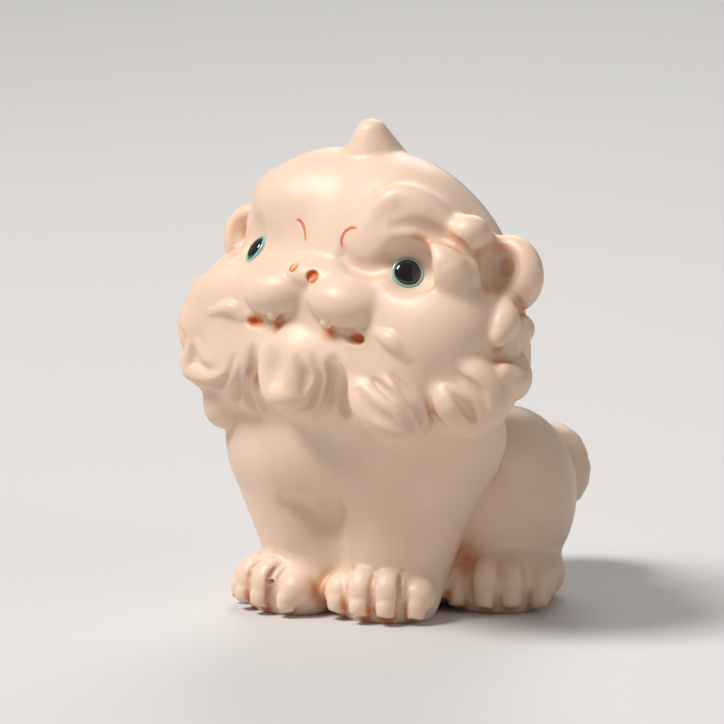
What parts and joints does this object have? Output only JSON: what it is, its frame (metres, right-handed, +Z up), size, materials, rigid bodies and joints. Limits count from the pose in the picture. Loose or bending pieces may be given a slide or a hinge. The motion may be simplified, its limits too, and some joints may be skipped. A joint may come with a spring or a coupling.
{
  "type": "foo dog figurine",
  "caption": "Small seated guardian lion cub carved in one piece, with a horn bump, curled brows, a ruff of hair locks, round ears, clawed paws and inlaid eyes.",
  "frame": {"origin": "middle of the footprint, on the flat underside", "axes": "+Z up, -Y towards the front paws, +X to the figure's own left"},
  "size_m": [0.0404, 0.0425, 0.05],
  "materials": {
    "ivory_resin": "satin cast resin the colour of pale ivory",
    "turquoise_enamel": "glossy turquoise inlay",
    "black_gloss": "polished black dome"
  },
  "bodies": {
    "root": {"lion_body": "ivory_resin", "left_eye_ring": "turquoise_enamel", "right_eye_ring": "turquoise_enamel", "left_eye_pupil": "black_gloss", "right_eye_pupil": "black_gloss"}
  },
  "joints": []
}
